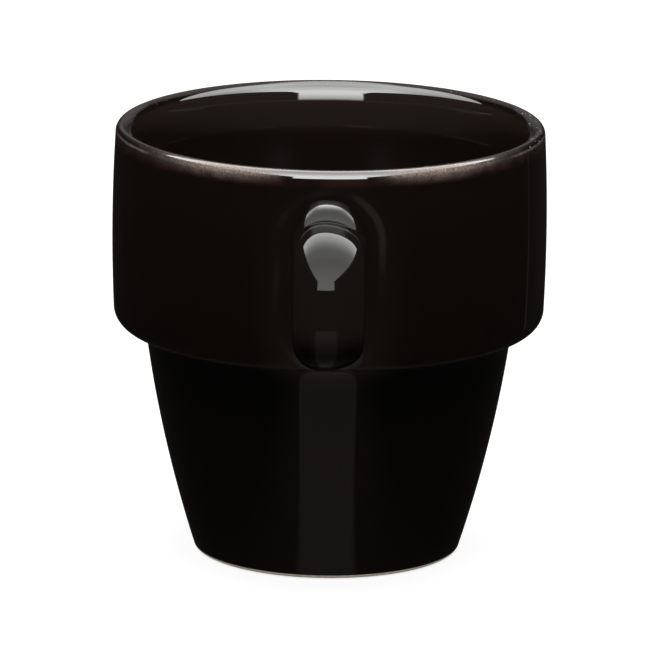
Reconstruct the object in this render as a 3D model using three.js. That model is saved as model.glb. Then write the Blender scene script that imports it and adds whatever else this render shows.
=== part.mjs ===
// A stackable coffee cup in dark glazed stoneware: a tapered lower body, a wider band above it, and a
// small looped strap handle on the band. The lower body drops into the band of the cup below, whose rim
// carries the shoulder.
// Millimetres, +Z up. The cup stands on z = 0, its handle points along -Y, and the origin is under the
// middle of the whole object, handle included.

import * as THREE from "three";

// Lower body, from the table up to the shoulder
const coneHeight = 41.5;
const coneTaper = 8.8; // how much wider the side is at the shoulder than at the foot
const coneBow = 0.95; // how far the side swells out of a straight line
const coneWall = 4.2;
const footCornerHeight = 1.4; // where the round foot corner passes into the side
const floorHeight = 5.2; // inner floor above the table
const floorCornerHeight = 8;
const floorCornerReach = 9;

// Upper band, from the shoulder up to the rim
const bandRadius = 39;
const bandHeight = 37;
const bandBelly = 0.4; // how far the band swells out of a straight line
const rimDrawIn = 0.2; // how much narrower the rim is than the band's foot
const bandWall = 4.05;
const bandCornerRadius = 3.5;

// Lip: its crest stands near its outside, and its inside opens out of the wall
const crestInset = 1.2; // from the rim's outside to the crest
const lipOuterDrop = 1.4; // height of the round outer side
const lipInnerReach = 2.4;
const lipInnerDrop = 1.9;
const lipFlareDrop = 3.4; // height over which the inner wall opens towards the lip
const lipFlareAngle = 12; // how far above its widest line the round inner side ends, in degrees

// Shoulder, where the band steps in to the lower body
const stackClearance = 1.45; // all round, between a cup's lower body and the rim that it drops into
const shoulderFilletDrop = 4;
const shoulderFilletReach = 2.2;
const innerRunAbove = 16.5; // the inside runs over from the band to the lower body between this height
const innerRunBelow = 5.5; // above the shoulder and this height below it

// Foot: a ring of bare clay round a shallow recess
const footRingHeight = 0.9;
const footRingWidth = 3.2;
const footRingBevel = 0.5;
const recessHeight = 1.9;
const recessSlope = 2.2;

// Handle: a strap bent into a D whose arms dip a little towards the band
const handleTopBelowRim = 6.9;
const handleBottomAboveShoulder = 3.8;
const handleReach = 20.8; // from the band's foot radius to the strap's outer face
const handleBendRadius = 10.6; // of the outer face
const handleArmDip = 16; // degrees
const handleWidth = 12.9; // at the upper end
const handleTaper = 0.6; // how much narrower the lower end is
const handleOuterDepth = 4.2; // from the strap's widest line to its outer face
const handleInnerDepth = 2.8; // and to the face that the finger touches

// Luting slip that joins each end of the handle to the band: a pad with a rounded edge
const slipDepth = 2.4; // from the band's gap to the flat end of the handle
const slipSide = 0.6; // how far the pad stands out beyond the strap's sides
const upperSlipRise = 3.6; // and beyond the outer face of the upper arm
const lowerSlipRise = 1.5; // and of the lower one
const innerSlipRise = 1.5; // and beyond the faces in the finger hole
const fitGap = 0.3; // left between pieces that follow one curved surface

// Fineness of the curved surfaces
const roundSteps = 64;
const sideSteps = 5;
const arcSteps = 4;
const strapSides = 24;
const bendSteps = 8;
const slipSteps = 4;
const footArcSteps = 2;
const lipSteps = 4;
const runSteps = 8;
const slipFill = [0.35, 0.7]; // rings inside the slip's hollow face, as shares of its outline

// Sizes that follow from the ones above
const cupHeight = coneHeight + bandHeight;
const rimRadius = bandRadius - rimDrawIn;
const lipHeight = cupHeight - lipOuterDrop;
const crestRadius = rimRadius - crestInset;
const coneTopRadius = rimRadius - bandWall - stackClearance;
const coneFootRadius = coneTopRadius - coneTaper;
const shoulderStep = bandRadius - coneTopRadius;
const filletReach = Math.min(shoulderFilletReach, shoulderStep / 2);
const bandCorner = Math.min(bandCornerRadius, shoulderStep - filletReach);
const bandStart = coneHeight + bandCorner;

const glaze = { color: 0x1a0f0b, roughness: 0.12, metalness: 0 };
const clay = { color: 0xc9bfb0, roughness: 0.85, metalness: 0 };
const slip = { color: 0x22150f, roughness: 0.15, metalness: 0 };

// A side that leans straight from one radius to another, swollen by the given amount at mid height.
function swollenRadius(share, from, to, swell) {
  return from + (to - from) * share + 4 * swell * share * (1 - share);
}

function coneRadiusAt(z) {
  const share = (z - footCornerHeight) / (coneHeight - footCornerHeight);
  return swollenRadius(share, coneFootRadius, coneTopRadius, coneBow);
}

// The band's outer radius at a height, its round lower corner included.
function bandRadiusAt(z) {
  if (z < bandStart) {
    const drop = Math.min(bandStart - z, bandCorner);
    return bandRadius - bandCorner + Math.sqrt(bandCorner ** 2 - drop ** 2);
  }
  const share = Math.min((z - bandStart) / (lipHeight - bandStart), 1);
  return swollenRadius(share, bandRadius, rimRadius, bandBelly);
}

// Points of an elliptic stretch, with angles in degrees from the outward direction.
function oval(centreRadius, centreHeight, across, up, from, to, steps) {
  const points = [];
  for (let i = 0; i <= steps; i++) {
    const angle = THREE.MathUtils.degToRad(from + ((to - from) * i) / steps);
    const r = centreRadius + across * Math.cos(angle);
    points.push(new THREE.Vector2(r, centreHeight + up * Math.sin(angle)));
  }
  return points;
}

function arc(centreRadius, centreHeight, radius, from, to, steps) {
  return oval(centreRadius, centreHeight, radius, radius, from, to, steps);
}

// Points of a side between two heights, from a function that gives its radius.
function side(radiusAt, from, to, steps) {
  const points = [];
  for (let i = 0; i <= steps; i++) {
    const z = from + ((to - from) * i) / steps;
    points.push(new THREE.Vector2(radiusAt(z), z));
  }
  return points;
}

function curve(start, corner, end, steps) {
  const bend = new THREE.QuadraticBezierCurve(
    new THREE.Vector2(...start),
    new THREE.Vector2(...corner),
    new THREE.Vector2(...end),
  );
  return bend.getPoints(steps);
}

// Turns a profile of radius and height round the cup's axis. Points that repeat are dropped.
function turned(profile) {
  const points = profile.filter((p, i) => i === 0 || p.distanceTo(profile[i - 1]) > 0.01);
  return new THREE.LatheGeometry(points, roundSteps).rotateX(Math.PI / 2);
}

function mesh(name, geometry, finish) {
  const piece = new THREE.Mesh(geometry, new THREE.MeshStandardMaterial(finish));
  piece.name = name;
  return piece;
}

// The round corner at the foot: it touches the table and runs smoothly into the side.
const lean = Math.atan(
  (coneTopRadius - coneFootRadius + 4 * coneBow) / (coneHeight - footCornerHeight),
);
const footCorner = footCornerHeight / (1 - Math.sin(lean));
const footCentre = coneFootRadius - footCorner * Math.cos(lean);
const ringTopAngle = THREE.MathUtils.radToDeg(Math.asin(footRingHeight / footCorner - 1));
const ringInside = footCentre - footRingWidth;

function footRing() {
  const outside = arc(footCentre, footCorner, footCorner, -90, ringTopAngle, arcSteps);
  const first = new THREE.Vector2(ringInside + footRingBevel, 0);
  const top = new THREE.Vector2(ringInside, footRingHeight);
  return mesh("foot_ring", turned([first, ...outside, top, first]), clay);
}

// The lip over the top of the wall: a round outer side, a rounder inner side and a short opening below.
const lipInnerEnd = cupHeight - lipInnerDrop * (1 - Math.sin(THREE.MathUtils.degToRad(lipFlareAngle)));
const lipFoot = lipInnerEnd - lipFlareDrop;

function lip(innerWallAt) {
  const inner = cupHeight - lipInnerDrop;
  const slope = (lipInnerReach / lipInnerDrop) * Math.tan(THREE.MathUtils.degToRad(lipFlareAngle));
  const round = oval(crestRadius, inner, lipInnerReach, lipInnerDrop, 90, 180 - lipFlareAngle, lipSteps);
  const last = round[round.length - 1];
  const wall = innerWallAt(lipFoot);
  return [
    ...oval(crestRadius, lipHeight, crestInset, lipOuterDrop, 0, 90, lipSteps),
    ...round,
    ...curve([last.x, last.y], [wall, last.y - (last.x - wall) / slope], [wall, lipFoot], 2),
  ];
}

function cupBody() {
  const sideAngle = -THREE.MathUtils.radToDeg(lean);
  const filletStart = coneHeight - shoulderFilletDrop;
  const innerWallAt = (z) => bandRadiusAt(z) - bandWall;
  const innerConeAt = (z) => coneRadiusAt(z) - coneWall;
  const runTop = coneHeight + innerRunAbove;
  const runFoot = coneHeight - innerRunBelow;
  const hold = 0.45 * (runTop - runFoot);
  const innerRun = new THREE.CubicBezierCurve(
    new THREE.Vector2(innerWallAt(runTop), runTop),
    new THREE.Vector2(innerWallAt(runTop - hold), runTop - hold),
    new THREE.Vector2(innerConeAt(runFoot + hold), runFoot + hold),
    new THREE.Vector2(innerConeAt(runFoot), runFoot),
  );
  const floorCorner = floorHeight + floorCornerHeight;
  const profile = [
    new THREE.Vector2(0, recessHeight),
    new THREE.Vector2(ringInside - recessSlope, recessHeight),
    new THREE.Vector2(ringInside, footRingHeight),
    ...arc(footCentre, footCorner, footCorner, ringTopAngle, sideAngle, footArcSteps),
    ...side(coneRadiusAt, footCornerHeight, filletStart, sideSteps),
    ...curve(
      [coneRadiusAt(filletStart), filletStart],
      [coneTopRadius, coneHeight],
      [coneTopRadius + filletReach, coneHeight],
      arcSteps,
    ),
    ...arc(bandRadius - bandCorner, bandStart, bandCorner, -90, 0, arcSteps),
    ...side(bandRadiusAt, bandStart, lipHeight, sideSteps),
    ...lip(innerWallAt),
    ...side(innerWallAt, lipFoot, runTop, sideSteps),
    ...innerRun.getPoints(runSteps),
    ...side(innerConeAt, runFoot, floorCorner, sideSteps),
    ...curve(
      [innerConeAt(floorCorner), floorCorner],
      [innerConeAt(floorHeight), floorHeight],
      [innerConeAt(floorCorner) - floorCornerReach, floorHeight],
      arcSteps,
    ),
    new THREE.Vector2(0, floorHeight),
  ];
  return mesh("cup_body", turned(profile), glaze);
}

// The strap's section at its upper end: x across the strap and through from its inner to its outer face.
function strapOutline() {
  const outline = [];
  for (let i = 0; i < strapSides; i++) {
    const angle = (2 * Math.PI * i) / strapSides;
    const depth = i < strapSides / 2 ? handleOuterDepth : handleInnerDepth;
    outline.push({ x: (handleWidth / 2) * Math.cos(angle), through: depth * Math.sin(angle) });
  }
  return outline;
}

const outline = strapOutline();
const armDip = THREE.MathUtils.degToRad(handleArmDip);
const upperBend = cupHeight - handleTopBelowRim - handleBendRadius;
const lowerBend = coneHeight + handleBottomAboveShoulder + handleBendRadius;
const bendRadius = handleBendRadius - handleOuterDepth;
const bendDistance = bandRadius + handleReach - handleBendRadius;
const rootDistance = bandRadius + bandBelly + fitGap + slipDepth;

function wallDistance(x, z) {
  return Math.sqrt(bandRadiusAt(z) ** 2 - x ** 2);
}

// One ring of the strap on a bend. Its turn is 0 where the outer face looks up, and its share is the
// part of the way from the upper end to the lower one.
function strapRing(bendHeight, turn, share) {
  const narrow = 1 - (handleTaper / handleWidth) * share;
  return outline.map(({ x, through }) => {
    const out = bendRadius + through;
    const distance = bendDistance + out * Math.sin(turn);
    return new THREE.Vector3(x * narrow, -distance, bendHeight + out * Math.cos(turn));
  });
}

// Where a ring's points arrive when they run on to the handle's flat end, up or down along the arm.
function rootRing(ring, rise) {
  return ring.map((p) => {
    const run = -p.y - rootDistance;
    return new THREE.Vector3(p.x, -rootDistance, p.z + run * rise);
  });
}

// A closed skin over rings of equal count, with a fan over each end. Each end has a middle point.
function skin(rings, firstMiddle, lastMiddle) {
  const count = rings[0].length;
  const points = rings.flat();
  const index = [];
  for (let r = 0; r + 1 < rings.length; r++) {
    for (let i = 0; i < count; i++) {
      const a = r * count + i;
      const b = r * count + ((i + 1) % count);
      index.push(a, b, a + count, b, b + count, a + count);
    }
  }
  const last = (rings.length - 1) * count;
  const firstCentre = points.push(firstMiddle) - 1;
  const lastCentre = points.push(lastMiddle) - 1;
  for (let i = 0; i < count; i++) {
    const next = (i + 1) % count;
    index.push(firstCentre, next, i, lastCentre, last + i, last + next);
  }
  const geometry = new THREE.BufferGeometry().setFromPoints(points);
  geometry.setIndex(index);
  geometry.computeVertexNormals();
  return geometry;
}

// The bends from the upper arm round to the lower one, and the flat ends that stand on the slip.
const bends = [];
for (let i = 0; i <= bendSteps; i++) {
  const share = i / bendSteps;
  const turn = THREE.MathUtils.lerp(-armDip, Math.PI / 2, share);
  bends.push(strapRing(upperBend, turn, share / 2));
}
for (let i = 0; i <= bendSteps; i++) {
  const share = i / bendSteps;
  const turn = THREE.MathUtils.lerp(Math.PI / 2, Math.PI + armDip, share);
  bends.push(strapRing(lowerBend, turn, 0.5 + share / 2));
}
const upperRoot = rootRing(bends[0], -Math.tan(armDip));
const lowerRoot = rootRing(bends[bends.length - 1], Math.tan(armDip));

function middleOf(ring) {
  return ring.reduce((sum, p) => sum.add(p), new THREE.Vector3()).divideScalar(ring.length);
}

function handle() {
  const rings = [upperRoot, ...bends, lowerRoot];
  return mesh("handle", skin(rings, middleOf(upperRoot), middleOf(lowerRoot)), glaze);
}

// The slip under one end of the handle: the handle's flat end on one side, hollowed to the band's curve
// with the fit gap on the other side, and rounded out to a wider pad between. Its outer rise lies above
// the upper arm and below the lower one.
function slipJoint(name, root, outerRise) {
  const middle = middleOf(root);
  const way = Math.sign(root[strapSides / 4].z - root[(3 * strapSides) / 4].z);
  const seated = (x, z) => -(wallDistance(x, z) + fitGap);
  const pad = root.map((p, i) => {
    const angle = (2 * Math.PI * i) / strapSides;
    const rise = angle < Math.PI ? outerRise : innerSlipRise;
    return new THREE.Vector2(p.x + slipSide * Math.cos(angle), p.z + way * rise * Math.sin(angle));
  });
  const rings = [];
  for (const share of slipFill) {
    rings.push(
      pad.map((p) => {
        const x = p.x * share;
        const z = THREE.MathUtils.lerp(middle.z, p.y, share);
        return new THREE.Vector3(x, seated(x, z), z);
      }),
    );
  }
  for (let step = 0; step <= slipSteps; step++) {
    const angle = ((Math.PI / 2) * step) / slipSteps;
    rings.push(
      pad.map((p, i) => {
        const x = THREE.MathUtils.lerp(root[i].x, p.x, Math.cos(angle));
        const z = THREE.MathUtils.lerp(root[i].z, p.y, Math.cos(angle));
        const y = THREE.MathUtils.lerp(seated(x, z), -rootDistance, Math.sin(angle));
        return new THREE.Vector3(x, y, z);
      }),
    );
  }
  const hollow = new THREE.Vector3(0, seated(0, middle.z), middle.z);
  const facesOut = way > 0 ? skin(rings, hollow, middle) : skin(rings.reverse(), middle, hollow);
  return mesh(name, facesOut, slip);
}

const cup = new THREE.Group();
cup.add(cupBody());
cup.add(footRing());
cup.add(handle());
cup.add(slipJoint("upper_slip_joint", upperRoot, upperSlipRise));
cup.add(slipJoint("lower_slip_joint", lowerRoot, lowerSlipRise));

// The cup's axis stands behind the origin, so that the origin is under the middle of the object.
const widest = Math.max(...side(bandRadiusAt, bandStart, lipHeight, sideSteps).map((p) => p.x));
cup.position.y = (bandRadius + handleReach - widest) / 2;

const part = new THREE.Group();
part.add(cup);

export default part;
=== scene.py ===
# %% [markdown]
# # A stackable coffee cup in black-brown glaze
# The real cup is one cast clay body with a strap handle luted on, dipped in a dark glossy glaze that
# runs thin and tan over its sharp edges. This lesson loads the solid model as a fixed frame, lays smooth
# glazed surfaces over its solids, and lights them as a photographer lights a dark glossy thing.

import bpy
import numpy as np
from mathutils import Matrix, Vector


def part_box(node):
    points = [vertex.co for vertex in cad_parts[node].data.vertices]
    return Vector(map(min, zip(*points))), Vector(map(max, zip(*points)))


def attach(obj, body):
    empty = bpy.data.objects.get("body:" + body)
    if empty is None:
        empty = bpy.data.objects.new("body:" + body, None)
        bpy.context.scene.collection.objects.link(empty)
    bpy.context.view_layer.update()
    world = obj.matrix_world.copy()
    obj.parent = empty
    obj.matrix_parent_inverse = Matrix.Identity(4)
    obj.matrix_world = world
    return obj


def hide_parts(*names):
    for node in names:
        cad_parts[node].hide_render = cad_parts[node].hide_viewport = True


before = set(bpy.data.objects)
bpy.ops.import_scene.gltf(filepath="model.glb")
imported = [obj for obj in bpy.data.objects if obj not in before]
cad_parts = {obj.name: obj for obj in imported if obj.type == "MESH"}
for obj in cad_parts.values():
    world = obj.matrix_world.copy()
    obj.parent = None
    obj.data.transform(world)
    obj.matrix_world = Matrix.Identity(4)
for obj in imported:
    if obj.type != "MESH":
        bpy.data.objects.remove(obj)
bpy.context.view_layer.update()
print("nodes:", sorted(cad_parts))

# %% [markdown]
# The sizes that the solids give are read from their boxes, so that the glazed surfaces stay on them. The
# cup's axis stands a little behind the origin, which is under the middle of the cup and its handle.

# %% Sizes that the frame gives
MM = 0.001

body_low, body_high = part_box("cup_body")
handle_low, handle_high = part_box("handle")

AXIS_Y = (body_low.y + body_high.y) / 2
CUP_HEIGHT = body_high.z
HANDLE_WIDTH = handle_high.x - handle_low.x
HANDLE_REACH = AXIS_Y - handle_low.y
HANDLE_TOP = handle_high.z
HANDLE_BOTTOM = handle_low.z
print("cup", round(CUP_HEIGHT / MM, 2), "mm tall,", round((body_high.x - body_low.x) / MM, 2), "mm across")

# %% [markdown]
# Two formulas give every radius outside. The sides of the lower body and of the band are straight lines
# swollen by a small parabola, and the band starts on a round lower corner. Both work on whole arrays.

# %% The sides of the lower body and the band
CONE_HEIGHT = 41.5 * MM
CONE_TOP = 33.3 * MM
CONE_TAPER = 9.08 * MM
CONE_BOW = 0.95 * MM
CONE_FOOT = CONE_TOP - CONE_TAPER
FOOT_CORNER_HEIGHT = 0.8 * MM

BAND_RADIUS = 39 * MM
BAND_BELLY = 0.397 * MM
BAND_CORNER = 3.5 * MM
BAND_START = CONE_HEIGHT + BAND_CORNER
RIM_DRAW_IN = 0.2 * MM
RIM_RADIUS = BAND_RADIUS - RIM_DRAW_IN
LIP_OUTER_DROP = 1.5 * MM
LIP_HEIGHT = CUP_HEIGHT - LIP_OUTER_DROP


def swollen(share, start, end, swell):
    """A straight change from start to end, plus a parabola of the given height at mid share."""
    return start + (end - start) * share + 4 * swell * share * (1 - share)


def cone_radius(z):
    """Radius of the lower body's outside at height z."""
    share = (z - FOOT_CORNER_HEIGHT) / (CONE_HEIGHT - FOOT_CORNER_HEIGHT)
    return swollen(share, CONE_FOOT, CONE_TOP, CONE_BOW)


def band_radius(z):
    """Radius of the band's outside at height z: a circle in its lower corner, a swollen line above."""
    drop = np.clip(BAND_START - z, 0, BAND_CORNER)
    corner = BAND_RADIUS - BAND_CORNER + np.sqrt(BAND_CORNER**2 - drop**2)
    share = np.clip((z - BAND_START) / (LIP_HEIGHT - BAND_START), 0, 1)
    return np.where(z < BAND_START, corner, swollen(share, BAND_RADIUS, RIM_RADIUS, BAND_BELLY))


print("lower body", round(CONE_FOOT / MM, 2), "to", round(CONE_TOP / MM, 2), "mm in radius")

# %% [markdown]
# The profile is put together from a few kinds of curve. Each is an array of points, radius first and
# height second, that starts where the curve before it ends.

# %% Curves for the profile


def oval(radius_at, height_at, across, up, start, end, steps):
    """Points of an ellipse in the profile plane, with angles in degrees from the outward direction."""
    angle = np.radians(np.linspace(start, end, steps))
    return np.stack([radius_at + across * np.cos(angle), height_at + up * np.sin(angle)], 1)


def arc(radius_at, height_at, radius, start, end, steps):
    """Points of a circle in the profile plane."""
    return oval(radius_at, height_at, radius, radius, start, end, steps)


def bend(start, corner, end, steps):
    """A quadratic curve from start to end that leaves and arrives along the lines to corner."""
    t = np.linspace(0, 1, steps)[:, None]
    start, corner, end = np.array(start), np.array(corner), np.array(end)
    return (1 - t) ** 2 * start + 2 * t * (1 - t) * corner + t**2 * end


def smooth_run(start, start_hold, end_hold, end, steps):
    """A cubic curve from start to end that leaves towards start_hold and arrives from end_hold."""
    t = np.linspace(0, 1, steps)[:, None]
    start, start_hold, end_hold, end = (np.array(point) for point in (start, start_hold, end_hold, end))
    leaving = (1 - t) ** 3 * start + 3 * t * (1 - t) ** 2 * start_hold
    return leaving + 3 * t**2 * (1 - t) * end_hold + t**3 * end


def side(radius_of, start, end, steps):
    """Points between two heights on a side whose radius is a formula."""
    z = np.linspace(start, end, steps)
    return np.stack([radius_of(z), z], 1)


def on(radius_of, z):
    """The one point at height z of such a side."""
    return [float(radius_of(z)), z]


print("a quarter circle passes", np.round(arc(0, 0, 1, 0, 90, 3)[1], 3))

# %% [markdown]
# The foot's corner is a circle between the table and the side. If the side leans out by an angle a, the
# circle touches it at the height r (1 - sin a), which gives its radius r. Its lowest part is bare clay,
# where the glaze was wiped off.

# %% The foot's corner
RING_HEIGHT = 0.7 * MM
RING_WIDTH = 3.2 * MM

LEAN = np.arctan((CONE_TOP - CONE_FOOT + 4 * CONE_BOW) / (CONE_HEIGHT - FOOT_CORNER_HEIGHT))
FOOT_CORNER = FOOT_CORNER_HEIGHT / (1 - np.sin(LEAN))
FOOT_CENTRE = CONE_FOOT - FOOT_CORNER * np.cos(LEAN)
RING_INSIDE = FOOT_CENTRE - RING_WIDTH
RING_TOP_ANGLE = np.degrees(np.arcsin(RING_HEIGHT / FOOT_CORNER - 1))
print("foot corner", round(FOOT_CORNER / MM, 2), "mm in radius")

# %% [markdown]
# A glossy surface shows what its tilt points at, so the lip's section decides where its highlights lie.
# Its outer side is a quarter of an oval. Its inner side comes from a table: how many degrees the surface
# faces up at a way in mm from the crest.

# %% The lip's section
CREST_INSET = 1.2 * MM
LIP_INNER_WAY = [0, 0.15, 1.0, 1.65, 2.2, 2.82, 4.24, 7.4]
LIP_INNER_TILT = [90, 68, 65, 51.6, 36, 15, 8.2, -2.3]
LIP_OUTER_ROWS = 32
LIP_INNER_ROWS = 112


def lip_profile():
    """The outer quarter oval, then the inner side as a running sum: with n the angle above level that the
    surface faces at the way s, each step is dr = -sin(n) ds and dz = -cos(n) ds."""
    crest = RIM_RADIUS - CREST_INSET
    outer_round = oval(crest, LIP_HEIGHT, CREST_INSET, LIP_OUTER_DROP, 0, 90, LIP_OUTER_ROWS)
    s = np.linspace(0, LIP_INNER_WAY[-1], LIP_INNER_ROWS)
    tilt = np.interp(s, LIP_INNER_WAY, LIP_INNER_TILT)
    tilt = np.radians((tilt[:-1] + tilt[1:]) / 2)
    ds = np.diff(s) * MM
    inner_side = np.cumsum(np.stack([-np.sin(tilt) * ds, -np.cos(tilt) * ds], 1), axis=0)
    return np.concatenate([outer_round, inner_side + [crest, CUP_HEIGHT]])


lip = lip_profile()
band_wall = float(band_radius(lip[-1, 1])) - lip[-1, 0]
print("band wall", round(band_wall / MM, 2), "mm")

# %% [markdown]
# The underside is a shallow recess within the foot ring, so that the cup stands steady. The outside goes
# from the ring up the leaning side, over a fillet under the band, and up the band to the lip.

# %% The underside and the outside
RECESS_HEIGHT = 1.9 * MM
RECESS_SLOPE = 2.2 * MM
FILLET_DROP = 4 * MM
FILLET_REACH = 2.2 * MM
FLAT_ROWS = 8
SIDE_ROWS = 24
BAND_ROWS = 20


def underside():
    """The flat of the recess, and the slope from it to the top of the bare ring."""
    flat_end = [RING_INSIDE - RECESS_SLOPE, RECESS_HEIGHT]
    flat_middle = [RING_INSIDE / 2, RECESS_HEIGHT]
    slope_corner = [RING_INSIDE - RECESS_SLOPE / 2, RECESS_HEIGHT]
    return [
        bend([0, RECESS_HEIGHT], flat_middle, flat_end, FLAT_ROWS),
        bend(flat_end, slope_corner, [RING_INSIDE, RING_HEIGHT], FLAT_ROWS),
    ]


def outside():
    """The foot's corner, the leaning side, the fillet under the band, its lower corner and its side."""
    fillet_start = CONE_HEIGHT - FILLET_DROP
    fillet_end = [CONE_TOP + FILLET_REACH, CONE_HEIGHT]
    return [
        arc(FOOT_CENTRE, FOOT_CORNER, FOOT_CORNER, RING_TOP_ANGLE, -np.degrees(LEAN), FLAT_ROWS),
        side(cone_radius, FOOT_CORNER_HEIGHT, fillet_start, SIDE_ROWS),
        bend(on(cone_radius, fillet_start), [CONE_TOP, CONE_HEIGHT], fillet_end, SIDE_ROWS),
        arc(BAND_RADIUS - BAND_CORNER, BAND_START, BAND_CORNER, -90, 0, SIDE_ROWS),
        side(band_radius, BAND_START, LIP_HEIGHT, BAND_ROWS),
    ]


print("recess", round(RECESS_HEIGHT / MM, 1), "mm deep")

# %% [markdown]
# The inside follows the outside at the thickness of the wall. Where the outside has its shoulder, one
# long smooth curve runs from the band's inside to the lower body's, so that a spoon meets no edge.

# %% The inside
CONE_WALL = 4.2 * MM
INNER_RUN_ABOVE = 16.5 * MM
INNER_RUN_BELOW = 5.5 * MM
INNER_RUN_HOLD = 0.45
FLOOR_HEIGHT = 5.2 * MM
FLOOR_CORNER_HEIGHT = 8 * MM
FLOOR_CORNER_REACH = 9 * MM
INNER_BAND_ROWS = 12
INNER_RUN_ROWS = 32
INNER_CONE_ROWS = 14


def inner_band(z):
    """Radius of the band's inside at height z."""
    return band_radius(z) - band_wall


def inner_cone(z):
    """Radius of the lower body's inside at height z."""
    return cone_radius(z) - CONE_WALL


def inside():
    """The band's inside, the long curve, the leaning wall, its corner and the floor."""
    run_top = CONE_HEIGHT + INNER_RUN_ABOVE
    run_foot = CONE_HEIGHT - INNER_RUN_BELOW
    hold = INNER_RUN_HOLD * (run_top - run_foot)
    floor_top = FLOOR_HEIGHT + FLOOR_CORNER_HEIGHT
    floor_edge = [inner_cone(floor_top) - FLOOR_CORNER_REACH, FLOOR_HEIGHT]
    return [
        side(inner_band, lip[-1, 1], run_top, INNER_BAND_ROWS),
        smooth_run(on(inner_band, run_top), on(inner_band, run_top - hold),
                   on(inner_cone, run_foot + hold), on(inner_cone, run_foot), INNER_RUN_ROWS),
        side(inner_cone, run_foot, floor_top, INNER_CONE_ROWS),
        bend(on(inner_cone, floor_top), on(inner_cone, FLOOR_HEIGHT), floor_edge, SIDE_ROWS),
        bend(floor_edge, [FLOOR_CORNER_REACH, FLOOR_HEIGHT], [0, FLOOR_HEIGHT], FLAT_ROWS),
    ]


print("room inside", round(float(inner_cone(FLOOR_HEIGHT)) / MM, 1), "mm in radius at the floor")

# %% [markdown]
# All stretches together make one line, from the middle of the underside over the lip to the middle of the
# floor. Where two of them meet, their common point is kept once.

# %% The whole profile
SAME_POINT = 1e-6


def body_profile():
    """Radius and height of the whole section, with no point twice where two stretches meet."""
    points = np.concatenate([*underside(), *outside(), lip, *inside()])
    new_point = np.linalg.norm(np.diff(points, axis=0), axis=1) > SAME_POINT
    return points[np.concatenate([[True], new_point])]


profile = body_profile()
print("profile has", len(profile), "points")

# %% [markdown]
# Every piece here is a grid of points whose columns go round, so that the last column joins the first. One
# helper lists the faces of such a grid, and another makes an object of points and faces.

# %% Faces and objects


def smooth_piece(name, points, faces):
    """A smooth-shaded object at the origin from points and faces."""
    mesh = bpy.data.meshes.new(name)
    mesh.from_pydata(points.tolist(), [], faces)
    mesh.polygons.foreach_set("use_smooth", np.ones(len(mesh.polygons), bool))
    mesh.update()
    piece = bpy.data.objects.new(name, mesh)
    bpy.context.scene.collection.objects.link(piece)
    print(name, len(mesh.vertices), "points", len(mesh.polygons), "faces")
    return piece


def grid_faces(rows, columns, closed_loop=False):
    """Four-sided faces between neighbours in a grid whose columns go round, and its rows too if asked."""
    row = np.arange(rows if closed_loop else rows - 1)[:, None]
    column = np.arange(columns)[None, :]
    here, beside = row * columns + column, row * columns + (column + 1) % columns
    above, above_beside = (here + columns) % (rows * columns), (beside + columns) % (rows * columns)
    return np.stack([here, beside, above_beside, above], -1).reshape(-1, 4)


print("a grid of 3 rows and 4 columns has", len(grid_faces(3, 4)), "faces")

# %% [markdown]
# A potter's wheel turns the section of a cup round its axis, and the next helper does the same with the
# profile. A row that has shrunk to the axis is one point with a fan of triangles.

# %% Turn the profile into a closed body
AROUND = 256
ON_AXIS = 1e-9


def turned(name, profile, closed_loop=False):
    """The profile's radius r and height z at each angle a: x = r sin(a), y = axis - r cos(a)."""
    angle = 2 * np.pi * np.arange(AROUND) / AROUND
    first_pole, last_pole = profile[0, 0] < ON_AXIS, profile[-1, 0] < ON_AXIS
    rows = profile[int(first_pole):len(profile) - int(last_pole)]
    x = rows[:, 0, None] * np.sin(angle)
    y = AXIS_Y - rows[:, 0, None] * np.cos(angle)
    z = np.repeat(rows[:, 1, None], AROUND, 1)
    points = [np.stack([x, y, z], -1).reshape(-1, 3)]
    faces = grid_faces(len(rows), AROUND, closed_loop).tolist()
    total = len(rows) * AROUND
    ring_ids = np.arange(AROUND)
    next_ids = (ring_ids + 1) % AROUND
    last_row = total - AROUND
    if first_pole:
        points.append(np.array([[0, AXIS_Y, profile[0, 1]]]))
        faces += np.stack([np.full(AROUND, total), next_ids, ring_ids], 1).tolist()
        total += 1
    if last_pole:
        points.append(np.array([[0, AXIS_Y, profile[-1, 1]]]))
        faces += np.stack([np.full(AROUND, total), last_row + ring_ids, last_row + next_ids], 1).tolist()
    return smooth_piece(name, np.concatenate(points), faces)


cup = turned("glazed_body", profile)
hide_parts("cup_body")
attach(cup, "root")

# %% [markdown]
# Glaze runs thin where clay turns sharply, so the lip breaks to tan along its outer edge, and its flanks
# shine. Two measures say where: the way from the crest along the profile, in mm and negative outside,
# and the angle from the front, in degrees. Masks made of them ride on the mesh as attributes.

# %% Two measures on the lip, and a way to paint with them
step = np.linalg.norm(np.diff(profile, axis=0), axis=1)
length = np.concatenate([[0], np.cumsum(step)])
way = ((length - length[np.argmax(profile[:, 1])]) / MM)[:, None]
degrees = (360 * np.arange(AROUND) / AROUND + 180) % 360 - 180
off_front = np.abs(degrees)


def soft_span(value, start, end, soft_start, soft_end):
    """1 between start and end, with a smooth fall of the given width outside each of them."""
    rise = np.clip((value - start + soft_start) / soft_start, 0, 1)
    fall = np.clip((end + soft_end - value) / soft_end, 0, 1)
    share = rise * fall
    return share * share * (3 - 2 * share)


def paint(piece, name, values):
    """Puts a grid of values, rows of the profile by columns round it, on the points of the body."""
    grid = np.broadcast_to(values, (len(profile), AROUND))
    flat = np.concatenate([grid[1:-1].ravel(), grid[[0, -1], 0]])
    piece.data.attributes.new(name, "FLOAT", "POINT").data.foreach_set("value", flat.astype(np.float32))


print("the profile runs from", round(way.min()), "to", round(way.max()), "mm from the crest")

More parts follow.
